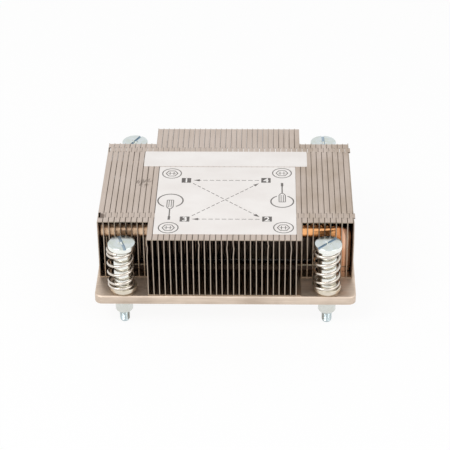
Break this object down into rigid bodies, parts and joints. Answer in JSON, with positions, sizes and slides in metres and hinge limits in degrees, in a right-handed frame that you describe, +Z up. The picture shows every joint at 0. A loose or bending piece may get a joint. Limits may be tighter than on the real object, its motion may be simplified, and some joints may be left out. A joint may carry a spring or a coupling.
{
  "type": "passive server cpu heatsink",
  "caption": "Low passive heat sink: stack of interlocking folded fins with copper heat pipes on a plated base plate, held by spring-loaded corner screws.",
  "frame": {"origin": "centre of the ground contact face under the base plate, which lies on the processor", "axes": "+X across the fins, +Y along the fins towards the end shown at the back, +Z up from the processor to the fin tops"},
  "size_m": [0.1024, 0.0913, 0.04],
  "materials": {
    "nickel_plated_copper": "satin",
    "nickel_plated_fin": "satin",
    "copper": "satin",
    "zinc_plated_steel": "satin",
    "spring_wire": "gloss",
    "ring_steel": "satin",
    "sticker_paper": "matt"
  },
  "bodies": {
    "heat_sink": {"base_plate": "nickel_plated_copper", "left_fin_01": "nickel_plated_fin", "left_fin_02": "nickel_plated_fin", "left_fin_03": "nickel_plated_fin", "left_fin_04": "nickel_plated_fin", "left_fin_05": "nickel_plated_fin", "left_fin_06": "nickel_plated_fin", "left_fin_07": "nickel_plated_fin", "left_fin_08": "nickel_plated_fin", "left_fin_09": "nickel_plated_fin", "centre_fin_01": "nickel_plated_fin", "centre_fin_02": "nickel_plated_fin", "centre_fin_03": "nickel_plated_fin", "centre_fin_04": "nickel_plated_fin", "centre_fin_05": "nickel_plated_fin", "centre_fin_06": "nickel_plated_fin", "centre_fin_07": "nickel_plated_fin", "centre_fin_08": "nickel_plated_fin", "centre_fin_09": "nickel_plated_fin", "centre_fin_10": "nickel_plated_fin", "centre_fin_11": "nickel_plated_fin", "centre_fin_12": "nickel_plated_fin", "centre_fin_13": "nickel_plated_fin", "centre_fin_14": "nickel_plated_fin", "centre_fin_15": "nickel_plated_fin", "centre_fin_16": "nickel_plated_fin", "centre_fin_17": "nickel_plated_fin", "centre_fin_18": "nickel_plated_fin", "centre_fin_19": "nickel_plated_fin", "centre_fin_20": "nickel_plated_fin", "centre_fin_21": "nickel_plated_fin", "centre_fin_22": "nickel_plated_fin", "centre_fin_23": "nickel_plated_fin", "centre_fin_24": "nickel_plated_fin", "centre_fin_25": "nickel_plated_fin", "centre_fin_26": "nickel_plated_fin", "centre_fin_27": "nickel_plated_fin", "right_fin_01": "nickel_plated_fin", "right_fin_02": "nickel_plated_fin", "right_fin_03": "nickel_plated_fin", "right_fin_04": "nickel_plated_fin", "right_fin_05": "nickel_plated_fin", "right_fin_06": "nickel_plated_fin", "right_fin_07": "nickel_plated_fin", "right_fin_08": "nickel_plated_fin", "right_fin_09": "nickel_plated_fin", "end_plate": "nickel_plated_fin", "heat_pipe_front": "copper", "heat_pipe_rear": "copper", "spring_rings": "ring_steel", "fitting_guide_sticker": "sticker_paper", "identification_sticker": "sticker_paper"},
    "plunger_front_left": {"spring_front_left": "spring_wire"},
    "screw_front_left": {"screw_front_left": "zinc_plated_steel"},
    "plunger_front_right": {"spring_front_right": "spring_wire"},
    "screw_front_right": {"screw_front_right": "zinc_plated_steel"},
    "plunger_rear_left": {"spring_rear_left": "spring_wire"},
    "screw_rear_left": {"screw_rear_left": "zinc_plated_steel"},
    "plunger_rear_right": {"spring_rear_right": "spring_wire"},
    "screw_rear_right": {"screw_rear_right": "zinc_plated_steel"}
  },
  "joints": [
    {"name": "press_front_left", "type": "slide", "parent": "heat_sink", "child": "plunger_front_left", "axis": [0, 0, 1], "range_m": [-0.0035, 0], "stiffness_N_per_m": 9000, "springref_m": 0.002, "deforming": ["spring_front_left"]},
    {"name": "turn_front_left", "type": "hinge", "parent": "plunger_front_left", "child": "screw_front_left", "pos_m": [-0.04, -0.04, 0], "axis": [0, 0, 1], "continuous": true},
    {"name": "press_front_right", "type": "slide", "parent": "heat_sink", "child": "plunger_front_right", "axis": [0, 0, 1], "range_m": [-0.0035, 0], "stiffness_N_per_m": 9000, "springref_m": 0.002, "deforming": ["spring_front_right"]},
    {"name": "turn_front_right", "type": "hinge", "parent": "plunger_front_right", "child": "screw_front_right", "pos_m": [0.04, -0.04, 0], "axis": [0, 0, 1], "continuous": true},
    {"name": "press_rear_left", "type": "slide", "parent": "heat_sink", "child": "plunger_rear_left", "axis": [0, 0, 1], "range_m": [-0.0035, 0], "stiffness_N_per_m": 9000, "springref_m": 0.002, "deforming": ["spring_rear_left"]},
    {"name": "turn_rear_left", "type": "hinge", "parent": "plunger_rear_left", "child": "screw_rear_left", "pos_m": [-0.04, 0.04, 0], "axis": [0, 0, 1], "continuous": true},
    {"name": "press_rear_right", "type": "slide", "parent": "heat_sink", "child": "plunger_rear_right", "axis": [0, 0, 1], "range_m": [-0.0035, 0], "stiffness_N_per_m": 9000, "springref_m": 0.002, "deforming": ["spring_rear_right"]},
    {"name": "turn_rear_right", "type": "hinge", "parent": "plunger_rear_right", "child": "screw_rear_right", "pos_m": [0.04, 0.04, 0], "axis": [0, 0, 1], "continuous": true}
  ]
}
